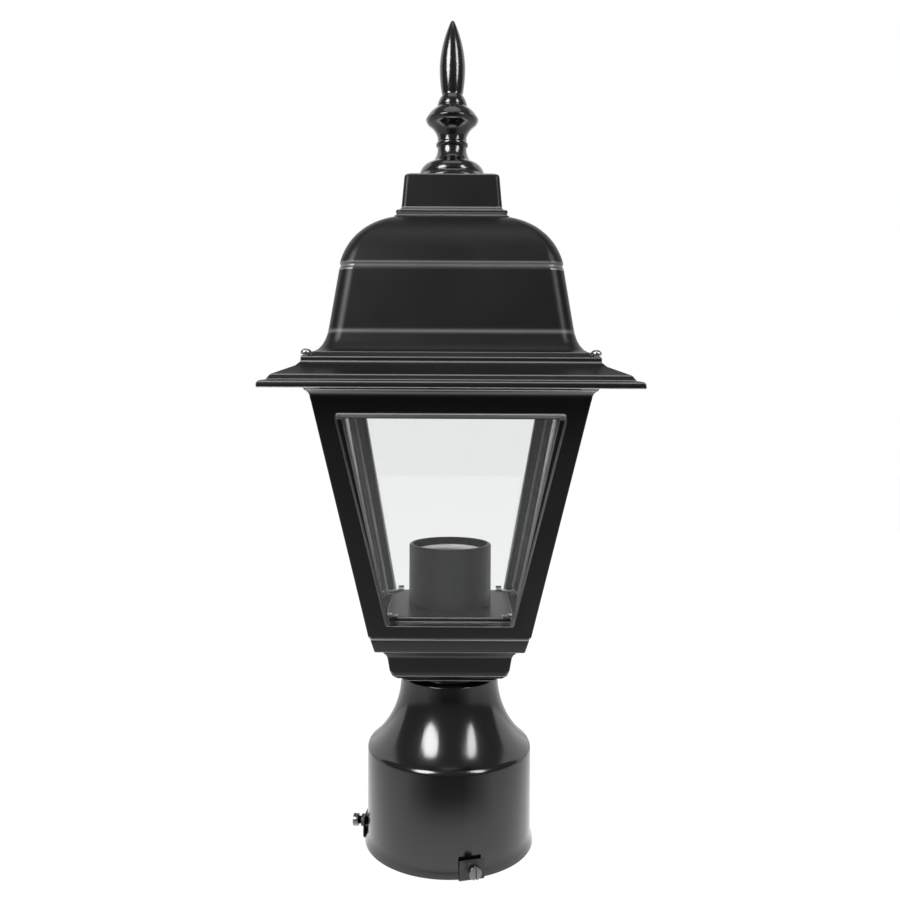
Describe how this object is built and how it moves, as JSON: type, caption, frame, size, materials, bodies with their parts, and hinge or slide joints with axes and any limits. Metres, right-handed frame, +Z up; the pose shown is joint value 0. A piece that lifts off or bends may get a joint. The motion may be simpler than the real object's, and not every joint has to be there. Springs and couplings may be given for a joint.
{
  "type": "post-top lantern",
  "caption": "Small square black post-top lantern with a domed roof, spear finial, clear tapering panes and a round post collar with clamp screws.",
  "frame": {"origin": "on the lantern's axis at its lowest point, the folds of the clip nuts under the collar's rim", "axes": "+Z up the post's axis to the finial, -Y to the front, +X to the right seen from the front"},
  "size_m": [0.1632, 0.1632, 0.4127],
  "materials": {
    "black_coat": "semi-gloss black powder coat on cast metal",
    "black_gloss": "gloss black enamel on cast metal",
    "clear_glass": "clear",
    "spring_steel": "bright zinc",
    "black_spring_steel": "black phosphated spring steel",
    "plated_steel": "bright zinc plate",
    "porcelain": "white glazed porcelain",
    "brass_shell": "satin",
    "green_steel": "green dyed zinc"
  },
  "bodies": {
    "lantern": {"finial": "black_gloss", "roof": "black_coat", "cage": "black_coat", "neck_ring": "black_coat", "fitter": "black_gloss", "socket_cup": "black_coat", "pane_front": "clear_glass", "pane_back": "clear_glass", "pane_left": "clear_glass", "pane_right": "clear_glass", "pane_clips": "spring_steel", "clip_nuts": "black_spring_steel", "roof_screws": "plated_steel", "finial_stud": "plated_steel", "finial_washer": "plated_steel", "finial_nut": "plated_steel", "threaded_tube": "plated_steel", "upper_washer": "plated_steel", "upper_nut": "plated_steel", "lower_washer": "plated_steel", "lower_nut": "plated_steel", "lampholder_screws": "plated_steel", "lampholder": "porcelain", "screw_shell": "brass_shell", "centre_contact": "brass_shell", "contact_rivet": "brass_shell", "ground_screw": "green_steel"},
    "clamp_screw_1": {"clamp_screw_1": "plated_steel"},
    "clamp_screw_2": {"clamp_screw_2": "plated_steel"},
    "clamp_screw_3": {"clamp_screw_3": "plated_steel"}
  },
  "joints": [
    {"name": "clamp_screw_1_travel", "type": "slide", "parent": "lantern", "child": "clamp_screw_1", "axis": [-0.2521, 0.9677, 0], "range_m": [-0.0025, 0.001]},
    {"name": "clamp_screw_2_travel", "type": "slide", "parent": "lantern", "child": "clamp_screw_2", "axis": [-0.6547, -0.7559, 0], "range_m": [-0.0025, 0.001]},
    {"name": "clamp_screw_3_travel", "type": "slide", "parent": "lantern", "child": "clamp_screw_3", "axis": [0.9938, -0.1115, 0], "range_m": [-0.0025, 0.001]}
  ]
}
